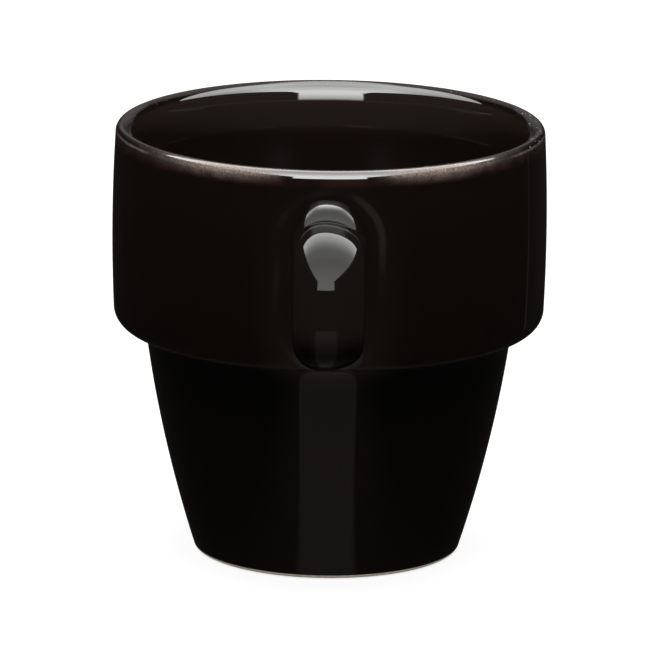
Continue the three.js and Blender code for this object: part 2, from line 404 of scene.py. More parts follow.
# %% [markdown]
# The lip shines on its outer flank all round, and inside at the back. The tables give the strength at ways
# and at angles, and the shader turns it into the weight of a clear coat.

# %% Paint the lip's shine
OUTER_SHINE = ([-2.5, -2.15, -1.6, -1.3, -0.85, -0.42, 0.0], [0.0, 0.9, 1.0, 0.9, 0.43, 0.17, 0.0])
INNER_SHINE = ([1.0, 1.65, 2.2, 2.9, 3.3], [0.0, 0.24, 0.88, 0.9, 0.0])
INNER_SHINE_ROUND = ([133, 142, 151, 162, 180], [0, 0.15, 0.5, 1, 1])
LOW_SHINE = ([2.9, 3.3, 3.7, 4.1, 4.4], [0.0, 0.82, 0.6, 0.4, 0.0])
LOW_SHINE_ROUND = (164.0, 180.0, 6.0, 1.0)

shine = np.interp(way, *OUTER_SHINE)
shine = shine + np.interp(way, *INNER_SHINE) * np.interp(off_front, *INNER_SHINE_ROUND)
shine = shine + np.interp(way, *LOW_SHINE) * soft_span(off_front, *LOW_SHINE_ROUND)
paint(cup, "lip_shine", shine)
print("strongest shine", shine.max())

# %% [markdown]
# The tan line is widest a little to each side of the handle and thins to a fine edge further round. Painted
# white glints lie on the right, and a dark red glow shows where the tan starts. The last mask is 1 all over
# the inside, where the glaze is browner.

# %% Paint the break, the glints, the glow and the inside
BREAK_WAY = (-1.5, -0.5, 1.5, 0.3)
BREAK_ROUND = ([8, 18, 30, 44, 54, 72], [0, 0.8, 1, 0.62, 0.4, 0])
EDGE_WAY = (-1.7, -1.4, 0.3, 0.25)
EDGE_ROUND = (60.0, 96.0, 12.0, 10.0)
EDGE_STRENGTH = 0.55
SPARK_WAY = (-1.6, 1.4, 0.4, 0.3)
SPARK_ROUND = ([20, 50, 110, 130], [0.1, 1, 1, 0.2])
GLOW_WAY = (-2.6, -2.15, 0.5, 0.2)
INSIDE_WAY = (2.8, 200.0, 1.2, 1.0)

wide_break = soft_span(way, *BREAK_WAY) * np.interp(off_front, *BREAK_ROUND)
fine_edge = soft_span(way, *EDGE_WAY) * soft_span(off_front, *EDGE_ROUND) * EDGE_STRENGTH
paint(cup, "lip_break", np.maximum(wide_break, fine_edge))
paint(cup, "lip_spark", soft_span(way, *SPARK_WAY) * np.interp(degrees, *SPARK_ROUND))
paint(cup, "lip_glow", soft_span(way, *GLOW_WAY))
paint(cup, "inside", soft_span(way, *INSIDE_WAY))
print("masks painted on", len(cup.data.vertices), "points")

# %% [markdown]
# The foot ring is bare clay, so it has its own surface: a closed loop of profile turned round the axis.

# %% The foot ring
RING_BEVEL = 0.5 * MM
RING_ROWS = 16


def ring_profile():
    """The closed section of the foot ring, from its inner bevel round the outside and back."""
    round_side = arc(FOOT_CENTRE, FOOT_CORNER, FOOT_CORNER, -90, RING_TOP_ANGLE, RING_ROWS)
    return np.concatenate([[[RING_INSIDE + RING_BEVEL, 0]], round_side, [[RING_INSIDE, RING_HEIGHT]]])


ring = turned("bare_foot_ring", ring_profile(), closed_loop=True)
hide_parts("foot_ring")
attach(ring, "root")

# %% [markdown]
# The handle is one section carried along one path: out from the band, round a bend, down the grip, round
# a second bend and back. The section is fuller outside than inside, and it slants by a trace.

# %% The strap's section and path
HANDLE_BEND = 10.6 * MM
HANDLE_DIP = np.radians(16)
HANDLE_TAPER = 0.6 * MM
HANDLE_OUTER = 4.2 * MM
HANDLE_INNER = 2.8 * MM
HANDLE_SLANT = 0.074
SECTION_INSET = 0.05 * MM
SECTION_STEPS = 96
BEND_ROWS = 48
GRIP_ROWS = 12

UPPER_BEND = HANDLE_TOP - HANDLE_BEND
LOWER_BEND = HANDLE_BOTTOM + HANDLE_BEND
BEND_RADIUS = HANDLE_BEND - HANDLE_OUTER
BEND_DISTANCE = HANDLE_REACH - HANDLE_BEND

section_angle = 2 * np.pi * np.arange(SECTION_STEPS) / SECTION_STEPS
across, through = np.cos(section_angle), np.sin(section_angle)
section_x = (HANDLE_WIDTH / 2 - SECTION_INSET) * across
section_depth = np.where(through > 0, HANDLE_OUTER, HANDLE_INNER) * through
section_depth -= HANDLE_SLANT * section_x * np.clip(through, 0, 1) ** 2


def strap_rows(bend_height, turn, share):
    """Rings of the strap for arrays of bend height, turn and share of the way along the strap. With r the
    distance from the bend's middle, a ring lies r sin(turn) out and r cos(turn) up. The turn is 0 where
    the outer face looks up."""
    turn, share, bend_height = (np.asarray(value, float)[..., None] for value in (turn, share, bend_height))
    narrow = 1 - HANDLE_TAPER / HANDLE_WIDTH * share
    out = BEND_RADIUS + section_depth
    y = AXIS_Y - (BEND_DISTANCE + out * np.sin(turn))
    return np.stack([section_x * narrow, y, bend_height + out * np.cos(turn)], -1)


quarter = np.pi / 2
turns = np.linspace(0, 1, BEND_ROWS)
upper_rows = strap_rows(UPPER_BEND, -HANDLE_DIP + (quarter + HANDLE_DIP) * turns, turns / 2)
lower_rows = strap_rows(LOWER_BEND, quarter + (quarter + HANDLE_DIP) * turns, 0.5 + turns / 2)
grip_heights = np.linspace(UPPER_BEND, LOWER_BEND, GRIP_ROWS)[1:-1]
grip_rows = strap_rows(grip_heights, np.full(GRIP_ROWS - 2, quarter), np.full(GRIP_ROWS - 2, 0.5))
print("the strap stands", round((HANDLE_REACH - BAND_RADIUS) / MM, 1), "mm out from the band")

# %% [markdown]
# Slip is the wet clay that fixes a handle to a cup. It stands out round each root, turns over a round
# shoulder and runs out on the strap with a soft crease. Two formulas say where the band's wall is, and how
# far the slip stands out on the way from there.

# %% How far the slip stands out
SLIP_DEPTH = 2.4 * MM
SLIP_SLOPE = 0.32
SLIP_POWER = 3
SLIP_FALL = 4
SLIP_CREASE = 0.1
FIT_GAP = 0.3 * MM

ROOT_DISTANCE = BAND_RADIUS + BAND_BELLY + FIT_GAP + SLIP_DEPTH


def wall_distance(x, z):
    """Distance of the band's surface from the plane through the cup's axis: sqrt(r(z)^2 - x^2)."""
    return np.sqrt(band_radius(z) ** 2 - x**2)


def standing_out(share):
    """How far the slip stands out, from 1 at the band to 0, for the share of the way from the band to the
    handle's flat end: a slope times a round shoulder. The crease is a smooth maximum with 0."""
    shoulder = np.sqrt(np.clip(1 - share**SLIP_POWER, 0, 1))
    edge = (1 - SLIP_SLOPE * share) * shoulder - SLIP_FALL * np.clip(share - 1, 0, None)
    return (edge + np.sqrt(edge**2 + SLIP_CREASE**2)) / 2


print("slip from the band to", round(ROOT_DISTANCE / MM, 2), "mm from the cup's axis")

# %% [markdown]
# The rows start just inside the band, go over the slip, and carry on along the straight arm to the first
# ring of the bend. On the strap's broad faces the slip rises as a flat cap, and it hardly rises at the
# edges.

# %% The slip round a root and the arm after it
SLIP_SIDE = 0.5 * MM
UPPER_SLIP_RISE = 3.4 * MM
LOWER_SLIP_RISE = 1.3 * MM
INNER_SLIP_RISE = 1.3 * MM
SLIP_CROWDING = 1.3
CAP_FLATNESS = 3
WALL_OVERLAP = 0.02 * MM
SLIP_ROWS = 36
ARM_ROWS = 20


def slip_and_arm(first_ring, rise_slope, outer_rise):
    """Rows of the slip and of the arm for one end of the strap. The arm is straight, so its height changes
    by rise_slope per unit of distance, and the slip pushes its ring out by a share of the rises."""
    outwards = np.sign(first_ring[SECTION_STEPS // 4, 2] - first_ring[3 * SECTION_STEPS // 4, 2])
    ring_distance = AXIS_Y - first_ring[:, 1]
    rise = np.where(through > 0, outer_rise, INNER_SLIP_RISE)
    cap = outwards * rise * np.sign(through) * (1 - np.abs(across) ** CAP_FLATNESS)

    def pushed_out(distance, stand):
        """x and z of the arm's ring at distances from the cup's axis."""
        x = first_ring[:, 0] + stand * SLIP_SIDE * across
        return x, first_ring[:, 2] + (ring_distance - distance) * rise_slope + stand * cap

    slip_share = np.sin(quarter * np.linspace(0, 1, SLIP_ROWS)[:, None] ** SLIP_CROWDING)
    x, z = pushed_out(ROOT_DISTANCE, standing_out(slip_share))
    wall = wall_distance(x, z) - WALL_OVERLAP
    slip = np.stack([x, AXIS_Y - (wall + (ROOT_DISTANCE - wall) * slip_share), z], -1)

    arm_share = np.linspace(0, 1, ARM_ROWS)[1:-1, None] ** 2
    distance = ROOT_DISTANCE + (ring_distance - ROOT_DISTANCE) * arm_share
    past_slip = (distance - ROOT_DISTANCE) / (ROOT_DISTANCE - BAND_RADIUS)
    x, z = pushed_out(distance, standing_out(1 + past_slip))
    return slip, np.stack([x, AXIS_Y - distance, z], -1)


upper_slip_rows, upper_arm = slip_and_arm(upper_rows[0], -np.tan(HANDLE_DIP), UPPER_SLIP_RISE)
lower_slip_rows, lower_arm = slip_and_arm(lower_rows[-1], np.tan(HANDLE_DIP), LOWER_SLIP_RISE)
print("each root has", len(upper_slip_rows), "rows of slip and", len(upper_arm), "rows of arm")

# %% [markdown]
# The strap and the slip joints are three pieces of the real cup, but glaze runs over all of them as one
# skin. So the skin is worked out as one grid with its normals, and then cut into rows for each piece.
# At a cut both sides carry the same normals, and no seam shows.

# %% The whole skin as one grid with its normals
TINY = 1e-12


def grid_normals(grid):
    """Outward normals of a grid whose columns go round: the cross product of its two directions."""
    along = np.gradient(grid, axis=0)
    around = np.roll(grid, -1, 1) - np.roll(grid, 1, 1)
    normal = np.cross(around, along)
    return normal / np.maximum(np.linalg.norm(normal, axis=-1, keepdims=True), TINY)


strap_grid = np.concatenate([upper_slip_rows[-1:], upper_arm, upper_rows, grip_rows, lower_rows,
                             lower_arm[::-1], lower_slip_rows[-1:]])
skin = np.concatenate([upper_slip_rows[:-1], strap_grid, lower_slip_rows[-2::-1]])
skin_normals = grid_normals(skin)
middle = len(skin) // 2
if np.sum((skin[middle] - skin[middle].mean(0)) * skin_normals[middle]) < 0:
    skin_normals = -skin_normals
print("handle skin", len(skin), "rows")

# %% [markdown]
# Each piece is closed with a flat end at a cut. The ends have points of their own, so they don't bend the
# shading of the skin.

# %% Cut the skin into its three pieces


def tube(name, rows, normals):
    """A closed tube over rows of a grid, with a fan over each end and the given normals on its skin."""
    count, around = rows.shape[:2]
    faces = grid_faces(count, around)[:, [0, 3, 2, 1]].tolist()
    ends = [rows[0], rows[-1]]
    facing = [rows[0].mean(0) - rows[1].mean(0), rows[-1].mean(0) - rows[-2].mean(0)]
    points = [rows.reshape(-1, 3)]
    pointing = [normals.reshape(-1, 3)]
    total = count * around
    for end, out in zip(ends, facing):
        points += [end, end.mean(0, keepdims=True)]
        pointing.append(np.repeat(out[None] / np.linalg.norm(out), around + 1, 0))
        ring_ids = total + np.arange(around)
        fan = np.stack([np.full(around, total + around), ring_ids, np.roll(ring_ids, -1)], 1)
        faces += (fan if end is ends[0] else fan[:, ::-1]).tolist()
        total += around + 1
    points, pointing = np.concatenate(points), np.concatenate(pointing)
    first = faces[0]
    edge_a, edge_b = points[first[1]] - points[first[0]], points[first[3]] - points[first[0]]
    if np.dot(np.cross(edge_a, edge_b), pointing[first[0]]) < 0:
        faces = [face[::-1] for face in faces]
    piece = smooth_piece(name, points, faces)
    piece.data.normals_split_custom_set_from_vertices(pointing.tolist())
    return piece


upper_end = SLIP_ROWS - 1
lower_start = len(skin) - SLIP_ROWS
cuts = {
    "glazed_handle": ("handle", "brown_glaze", slice(upper_end, lower_start + 1)),
    "glazed_upper_slip": ("upper_slip_joint", "glazed_slip", slice(0, upper_end + 1)),
    "glazed_lower_slip": ("lower_slip_joint", "glazed_slip", slice(lower_start, len(skin))),
}
handle_pieces = []
for name, (node, slot, rows) in cuts.items():
    piece = tube(name, skin[rows], skin_normals[rows])
    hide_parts(node)
    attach(piece, "root")
    handle_pieces.append(piece)

# %% [markdown]
# The top of the upper slip carries a little of the lip's shine, because the glaze pools there. It is
# painted on the slip's own points as the same attribute, and the points of its end caps keep 0.

# %% Paint the upper slip's shine
SLIP_SHINE = 0.4
TOP_BAND = (1.4 * MM, 1.0 * MM)
MIDDLE_BAND = (2.7 * MM, 0.9 * MM)
WALL_BAND = (0.4 * MM, 0.8 * MM)

upper_slip = handle_pieces[1]
x, y, z = np.moveaxis(skin[:upper_end + 1], -1, 0)
on_top = np.clip((z - (z[0].max() - TOP_BAND[0])) / TOP_BAND[1], 0, 1)
in_middle = np.clip((MIDDLE_BAND[0] - np.abs(x)) / MIDDLE_BAND[1], 0, 1)
near_wall = np.clip((y - y[-1].min() - WALL_BAND[0]) / WALL_BAND[1], 0, 1)
slip_shine = np.zeros(len(upper_slip.data.vertices), np.float32)
slip_shine[:x.size] = (SLIP_SHINE * on_top * in_middle * near_wall).ravel()
upper_slip.data.attributes.new("lip_shine", "FLOAT", "POINT").data.foreach_set("value", slip_shine)
print("strongest shine on the slip", slip_shine.max())

# %% [markdown]
# Shaders are nodes and links. A bench for one node tree keeps the formulas of this lesson short: each of
# its tools lays down a node or two and gives back what leaves them. Its sums come first.

# %% Sums with shader nodes


class Sums:
    """Arithmetic with the nodes of one tree, on sockets and on plain numbers."""

    def __init__(self, tree):
        self.nodes = tree.nodes
        self.links = tree.links

    def feed(self, socket, value):
        """Puts a number, a colour or what leaves another node on a socket."""
        if isinstance(value, bpy.types.NodeSocket):
            self.links.new(value, socket)
        elif isinstance(value, tuple):
            socket.default_value = (*value, 1)
        elif value is not None:
            socket.default_value = value

    def lay(self, kind, values, **settings):
        """A node with settings on itself and values on its sockets, and the sockets that leave it."""
        node = self.nodes.new("ShaderNode" + kind)
        for name, setting in settings.items():
            setattr(node, name, setting)
        for name, value in values.items():
            self.feed(node.inputs[name], value)
        return node.outputs

    def math(self, operation, *values):
        """One Math node."""
        return self.lay("Math", dict(enumerate(values)), operation=operation)[0]

    def times(self, first, *others):
        """The product of all values."""
        for other in others:
            first = self.math("MULTIPLY", first, other)
        return first

    def plus(self, first, *others):
        """The sum of all values."""
        for other in others:
            first = self.math("ADD", first, other)
        return first

    def minus(self, first, second):
        """The first value less the second."""
        return self.math("SUBTRACT", first, second)

    def over(self, first, second):
        """The first value divided by the second."""
        return self.math("DIVIDE", first, second)

    def larger(self, first, second):
        """The larger of two values."""
        return self.math("MAXIMUM", first, second)

    def off(self, value, middle):
        """How far a value is from middle."""
        return self.math("ABSOLUTE", self.minus(value, middle))


print("sums:", [name for name in vars(Sums) if not name.startswith("_")])

# %% [markdown]
# The bench adds soft edges, noise, bumps, mixed colours and the places that they are drawn at.

# %% The whole bench


class Bench(Sums):
    """Lays out the nodes of one tree."""

    def ramp(self, value, low, high, start=0.0, end=1.0):
        """A smooth change from start to end while value goes from low to high."""
        values = {"Value": value, "From Min": low, "From Max": high, "To Min": start, "To Max": end}
        return self.lay("MapRange", values, interpolation_type="SMOOTHSTEP")["Result"]

    def under(self, value, limit, soft):
        """1 where value is under the limit, with an edge that reaches soft to each side."""
        return self.ramp(value, limit + soft, limit - soft)

    def between(self, value, low, high, soft):
        """1 where value lies between low and high, with the same edges."""
        return self.times(self.ramp(value, low - soft, low + soft), self.under(value, high, soft))

    def noise(self, place, cells, detail):
        """Noise with a number of cells per metre, and finer and finer noise in it by detail."""
        return self.lay("TexNoise", {"Vector": place, "Scale": cells, "Detail": detail})["Fac"]

    def bump(self, height, depth, strength, under=None):
        """The normal of a surface that height raises by up to depth, on top of the normal under it."""
        values = {"Height": height, "Distance": depth, "Strength": strength, "Normal": under}
        return self.lay("Bump", values)["Normal"]

    def mixed(self, share, first, second):
        """Goes from the first colour to the second as share goes from 0 to 1."""
        return self.lay("Mix", {"Factor": share, "A": first, "B": second}, data_type="RGBA")["Result"]

    def object_place(self):
        """The point on the piece, in metres, as one vector and as its x, y and z."""
        place = self.lay("TexCoord", {})["Object"]
        return place, *self.lay("SeparateXYZ", {0: place})

    def painted(self, name):
        """The value of a painted attribute, 0 on a mesh that hasn't got it."""
        return self.lay("Attribute", {}, attribute_name=name)["Fac"]


print("tools:", [name for name in vars(Bench) if not name.startswith("_")])

# %% [markdown]
# The glaze is nearly black with a breath of warm brown. One shader group works out its colour, lustre and
# surface for every glazed piece, so that they match where they meet. Its inputs are the painted masks.

# %% The glaze as a shader group
CLOUD = (260.0, 3.0)
GRIT = (3600.0, 2.0)
PATCH = (70.0, 1.0)

glaze_coat = bpy.data.node_groups.new("glaze_coat", "ShaderNodeTree")
for name in ("Shine", "Break", "Glow", "Inside", "Spark"):
    glaze_coat.interface.new_socket(name, in_out="INPUT", socket_type="NodeSocketFloat")
glaze_coat.interface.new_socket("Color", in_out="OUTPUT", socket_type="NodeSocketColor")
for name in ("Lustre", "Depth", "Roughness"):
    glaze_coat.interface.new_socket(name, in_out="OUTPUT", socket_type="NodeSocketFloat")
glaze_coat.interface.new_socket("Normal", in_out="OUTPUT", socket_type="NodeSocketVector")

coat = Bench(glaze_coat)
masks = coat.nodes.new("NodeGroupInput").outputs
leaving = coat.nodes.new("NodeGroupOutput").inputs
place, cup_x, cup_y, cup_z = coat.object_place()
cloud = coat.noise(place, *CLOUD)
grit = coat.noise(place, *GRIT)
patch = coat.noise(place, *PATCH)
print("glaze masks:", [socket.name for socket in masks if socket.name])

# %% [markdown]
# The band is browner towards the top. Its edge that hangs over the lower body is painted lighter, a
# painted reflection of the pale table, and right under that edge the lower body is painted nearly black,
# as the band's painted shadow.

# %% Browns of the band and the lower body
BAND_BROWN = (0.0050, 0.0035, 0.0023)
BAND_TOP_BROWN = (0.0088, 0.0050, 0.0038)
BAND_FADE = (CONE_HEIGHT + 3 * MM, CUP_HEIGHT - 4 * MM)
EDGE_REFLECTION_BROWN = (0.0135, 0.0115, 0.0095)
EDGE_REFLECTION_FADE = (CONE_HEIGHT + 1.4 * MM, CONE_HEIGHT + 0.5 * MM)
CONE_BROWN = (0.0031, 0.0021, 0.0016)
CONE_TOP_SHADOW_BROWN = (0.0013, 0.0013, 0.0011)
CONE_SHADOW_FADE = (CONE_HEIGHT - 16 * MM, CONE_HEIGHT - 4 * MM)
BAND_FOOT = (CONE_HEIGHT - 0.3 * MM, CONE_HEIGHT + 0.3 * MM)

band = coat.mixed(coat.ramp(cup_z, *BAND_FADE), BAND_BROWN, BAND_TOP_BROWN)
# The band's lower edge is painted lighter: a painted reflection of the table.
band = coat.mixed(coat.ramp(cup_z, *EDGE_REFLECTION_FADE), band, EDGE_REFLECTION_BROWN)
# The top of the lower body is painted nearly black: a painted shadow under the band.
cone = coat.mixed(coat.ramp(cup_z, *CONE_SHADOW_FADE), CONE_BROWN, CONE_TOP_SHADOW_BROWN)
color = coat.mixed(coat.ramp(cup_z, *BAND_FOOT), cone, band)
print("band and lower body take", len(coat.nodes), "nodes so far")

# %% [markdown]
# Round the handle's roots the band is painted lighter, a painted glow of light beside the handle. The
# distance from an upright line behind the handle gives this long round halo, and a thin patchy lighter arc
# follows it, fullest at the upper right.

# %% The painted glow and the lighter arc round the handle
ROOT_GLOW_BROWN = (0.0108, 0.0074, 0.006)
ROOT_MIDDLE = (HANDLE_TOP + HANDLE_BOTTOM) / 2
ROOT_HALF = 7 * MM
ROOT_GLOW_FADE = (16 * MM, 8 * MM)
FRONT_HALF = (AXIS_Y, AXIS_Y - 10 * MM)
ON_WALL = (AXIS_Y - 42.5 * MM, AXIS_Y - 40 * MM)
ARC_BROWN = (0.03, 0.024, 0.02)
ARC_RADIUS = 9.4 * MM
ARC_LINE = (1.0 * MM, 0.1 * MM)
ARC_RIGHT = (2 * MM, 7 * MM)
ARC_UPPER = (ROOT_MIDDLE - 1 * MM, ROOT_MIDDLE + 9 * MM)
ARC_PATCHES = (0.42, 0.62, 0.0, 0.6)

beyond = coat.larger(coat.minus(coat.off(cup_z, ROOT_MIDDLE), ROOT_HALF), 0.0)
away = coat.math("SQRT", coat.plus(coat.times(cup_x, cup_x), coat.times(beyond, beyond)))
in_front = coat.times(coat.ramp(cup_y, *FRONT_HALF), coat.ramp(cup_y, *ON_WALL))
# A painted glow of light on the band round the handle's roots.
color = coat.mixed(coat.times(coat.ramp(away, *ROOT_GLOW_FADE), in_front), color, ROOT_GLOW_BROWN)
upper_right = coat.times(coat.ramp(cup_x, *ARC_RIGHT), coat.ramp(cup_z, *ARC_UPPER))
patches = coat.larger(upper_right, coat.ramp(patch, *ARC_PATCHES))
lighter_arc = coat.times(coat.ramp(coat.off(away, ARC_RADIUS), *ARC_LINE), patches)
color = coat.mixed(coat.times(lighter_arc, in_front), color, ARC_BROWN)
print("halo from", ROOT_GLOW_FADE[1] / MM, "to", ROOT_GLOW_FADE[0] / MM, "mm round the roots")

# %% [markdown]
# The handle is a little lighter than the band. Its lower part is painted darker, as painted shade, and
# hardly shines.

# %% Browns of the handle
HANDLE_BROWN = (0.0122, 0.0095, 0.0072)
LOW_HANDLE_SHADE_BROWN = (0.0068, 0.0054, 0.0042)
LOW_HANDLE = (HANDLE_BOTTOM + 9.5 * MM, HANDLE_BOTTOM + 3.5 * MM)

on_handle = coat.ramp(cup_y, *ON_WALL[::-1])
low_handle = coat.times(on_handle, coat.ramp(cup_z, *LOW_HANDLE))
# The darker brown low on the handle is painted shade.
color = coat.mixed(on_handle, color, coat.mixed(low_handle, HANDLE_BROWN, LOW_HANDLE_SHADE_BROWN))
print("the handle darkens", round((LOW_HANDLE[0] - HANDLE_BOTTOM) / MM, 1), "mm above its lowest point")

# %% [markdown]
# Inside, the glaze is redder and lighter. On the far side the wall is painted lighter down to 8 mm under
# the rim, as painted light from the front lamp that ends where the near rim's shadow begins, with a faint
# broken painted highlight along that edge.

# %% Browns of the inside
INNER_BROWN = (0.027, 0.0158, 0.0122)
INNER_LIT_BROWN = (0.036, 0.025, 0.021)
INNER_BACK = (AXIS_Y + 2 * MM, AXIS_Y + 30 * MM)
SHADOW_EDGE_HEIGHT = CUP_HEIGHT - 8.1 * MM
SHADOW_EDGE_STEP = (SHADOW_EDGE_HEIGHT - 0.7 * MM, SHADOW_EDGE_HEIGHT + 0.3 * MM)
SHADOW_EDGE_LIGHT = (0.06, 0.042, 0.036)
SHADOW_EDGE_LINE = (0.3 * MM, 0.08 * MM)
SHADOW_EDGE_PATCHES = (0.45, 0.6)

# Painted light on the far wall above the near rim's shadow, and a painted highlight along the shadow's
# edge.
lit_above_shadow = coat.times(coat.ramp(cup_z, *SHADOW_EDGE_STEP), coat.ramp(cup_y, *INNER_BACK))
inner = coat.mixed(lit_above_shadow, INNER_BROWN, INNER_LIT_BROWN)
shadow_edge = coat.times(coat.ramp(coat.off(cup_z, SHADOW_EDGE_HEIGHT), *SHADOW_EDGE_LINE), coat.ramp(patch, *SHADOW_EDGE_PATCHES))
inner = coat.mixed(shadow_edge, inner, SHADOW_EDGE_LIGHT)
color = coat.mixed(masks["Inside"], color, inner)
print("mark at", round(SHADOW_EDGE_HEIGHT / MM, 1), "mm")

# %% [markdown]
# On the lip the glaze thins from dark over a red glow to tan. Coarse clouds tear the edge of the tan, fine
# grit speckles it, and single white dots, painted glints, stand out where two noises agree.

# %% Colours of the lip
CREST_BROWN = (0.042, 0.028, 0.025)
ON_CREST = (CUP_HEIGHT - 0.5 * MM, CUP_HEIGHT - 0.1 * MM)
GLOW_RED = (0.05, 0.018, 0.018)
GLOW_CLOUDS = (0.3, 0.62)
BREAK_TAN = (0.5, 0.4, 0.34)
BREAK_FADE = (0.0, 0.8)
BREAK_GRIT = (0.3, 0.65, 0.5, 1.0)
NOISE_MIDDLE = 0.5
TORN = 0.5
PAINTED_GLINT_WHITE = (0.85, 0.83, 0.8)
DOTS = (1700.0, 0.0)
SPARK_DOTS = (0.74, 0.79)
SPARK_PATCHES = (0.4, 0.52)

color = coat.mixed(coat.ramp(cup_z, *ON_CREST), color, CREST_BROWN)
color = coat.mixed(coat.times(masks["Glow"], coat.ramp(cloud, *GLOW_CLOUDS)), color, GLOW_RED)
torn = coat.plus(masks["Break"], coat.times(coat.minus(cloud, NOISE_MIDDLE), TORN))
speckled = coat.times(coat.ramp(torn, *BREAK_FADE), coat.ramp(grit, *BREAK_GRIT))
tan = coat.times(masks["Break"], speckled)
color = coat.mixed(tan, color, BREAK_TAN)
dots = coat.noise(place, *DOTS)
# The white dots are painted glints of light.
sparks = coat.times(coat.ramp(dots, *SPARK_DOTS), coat.ramp(patch, *SPARK_PATCHES), masks["Spark"])
coat.feed(leaving["Color"], coat.mixed(sparks, color, PAINTED_GLINT_WHITE))
print("colours done with", len(coat.nodes), "nodes")

# %% [markdown]
# Lustre is the weight of a clear coat over the glaze, and the tan has none. Depth takes the shine off the
# low handle as painted shade: a share of metal with a dark colour reflects less than glass does. The glaze
# is rougher where it is tan, deep inside the cup and low on the handle.

# %% Lustre, depth and roughness
LUSTRE_WEIGHT = 0.92
LOW_HANDLE_METAL = 0.82
GLAZE_ROUGHNESS = 0.035
TAN_ROUGHNESS = 0.22
LOW_HANDLE_ROUGHNESS = 0.12
DEEP_INSIDE = (CUP_HEIGHT - 17 * MM, CUP_HEIGHT - 23 * MM, 0.0, 0.25)

coat.feed(leaving["Lustre"], coat.times(masks["Shine"], coat.minus(1.0, tan), LUSTRE_WEIGHT))
coat.feed(leaving["Depth"], coat.times(low_handle, LOW_HANDLE_METAL))
deep_inside = coat.times(masks["Inside"], coat.ramp(cup_z, *DEEP_INSIDE))
roughness = coat.plus(coat.times(tan, TAN_ROUGHNESS), deep_inside,
                      coat.times(low_handle, LOW_HANDLE_ROUGHNESS), GLAZE_ROUGHNESS)
coat.feed(leaving["Roughness"], roughness)
print("roughness from", GLAZE_ROUGHNESS, "up")

# %% [markdown]
# Fired glaze is never quite flat. A slow wave of a hundredth of a millimetre bends long reflections, and a
# finer peel breaks their edges.

# %% Waviness of the glaze
WAVE = (110.0, 1.0)
WAVE_DEPTH = 0.012 * MM
WAVE_STRENGTH = 0.6
PEEL = (900.0, 1.0)
PEEL_DEPTH = 0.004 * MM
PEEL_STRENGTH = 0.5

wave = coat.bump(coat.noise(place, *WAVE), WAVE_DEPTH, WAVE_STRENGTH)
peel = coat.bump(coat.noise(place, *PEEL), PEEL_DEPTH, PEEL_STRENGTH, under=wave)
coat.feed(leaving["Normal"], peel)
print("glaze group has", len(glaze_coat.nodes), "nodes")

# %% [markdown]
# Three materials wear these finishes: the glaze, the same glaze on the slip joints, and bare clay. What is
# the same all over a surface, such as the clear coat's index, is set on the shader itself.

# %% The glazed materials
LUSTRE_IOR = 3.35
LUSTRE_ROUGHNESS = 0.035
MASKS = {"Shine": "lip_shine", "Break": "lip_break", "Glow": "lip_glow", "Inside": "inside",
         "Spark": "lip_spark"}
WORN = {"Color": "Base Color", "Roughness": "Roughness", "Normal": "Normal", "Lustre": "Coat Weight",
        "Depth": "Metallic"}


def new_material(name):
    """A material with the usual shader, the bench for its nodes, and the shader's inputs."""
    material = bpy.data.materials.new(name)
    material.use_nodes = True
    return material, Bench(material.node_tree), material.node_tree.nodes["Principled BSDF"].inputs


def glazed(name):
    """A material that wears the glaze group, fed by the painted masks."""
    material, bench, shader = new_material(name)
    painted = {socket: bench.painted(attribute) for socket, attribute in MASKS.items()}
    group = bench.lay("Group", painted, node_tree=glaze_coat)
    for leaves, enters in WORN.items():
        bench.feed(shader[enters], group[leaves])
    bench.feed(shader["Coat IOR"], LUSTRE_IOR)
    bench.feed(shader["Coat Roughness"], LUSTRE_ROUGHNESS)
    return material


glaze = glazed("brown_glaze")
pooled = glazed("glazed_slip")
print("both glazes wear", len(WORN), "finishes of the group")

# %% [markdown]
# Bare stoneware is pale and matt. One fine grit speckles its colour and roughens its surface. With it,
# every piece has its material.

# %% The bare clay, and what each piece wears
CLAY_DARK = (0.62, 0.55, 0.46)
CLAY_LIGHT = (0.82, 0.76, 0.67)
CLAY_GRIT = (2200.0, 3.0)
CLAY_SPECKS = (0.35, 0.65)
CLAY_ROUGHNESS = 0.85
CLAY_DEPTH = 0.03 * MM


def bare_clay(name):
    """Pale matt stoneware with a fine grit in its colour and surface."""
    material, bench, shader = new_material(name)
    clay_grit = bench.noise(bench.object_place()[0], *CLAY_GRIT)
    specks = bench.ramp(clay_grit, *CLAY_SPECKS)
    bench.feed(shader["Base Color"], bench.mixed(specks, CLAY_DARK, CLAY_LIGHT))
    bench.feed(shader["Roughness"], CLAY_ROUGHNESS)
    bench.feed(shader["Normal"], bench.bump(clay_grit, CLAY_DEPTH, 1.0))
    return material


clay = bare_clay("bare_clay")
for piece, material in zip([cup, *handle_pieces, ring], [glaze, glaze, pooled, pooled, clay]):
    piece.data.materials.append(material)
    print(piece.name, "wears", material.name)

# %% [markdown]
# The floor is pale paper. Rays from the camera and from gloss see it lifted to white by a light of its
# own, and it still keeps the cup's shadow.

# %% Floor
FLOOR_DROP = 0.2 * MM
FLOOR_SIZE = 6.0
FLOOR_COLOR = (0.62, 0.62, 0.62)
FLOOR_LIFT = 0.79


def seen_directly(bench):
    """1 for rays that come from the camera, from gloss or through glass, and 0 for diffuse light."""
    path = bench.lay("LightPath", {})
    near = bench.larger(path["Is Camera Ray"], path["Is Glossy Ray"])
    return bench.larger(near, path["Is Transmission Ray"])


def bare_material(name):
    """A material with nothing but an output, the bench for its nodes, and the output's surface."""
    material = bpy.data.materials.new(name)
    material.use_nodes = True
    material.node_tree.nodes.clear()
    bench = Bench(material.node_tree)
    return material, bench, bench.nodes.new("ShaderNodeOutputMaterial").inputs["Surface"]


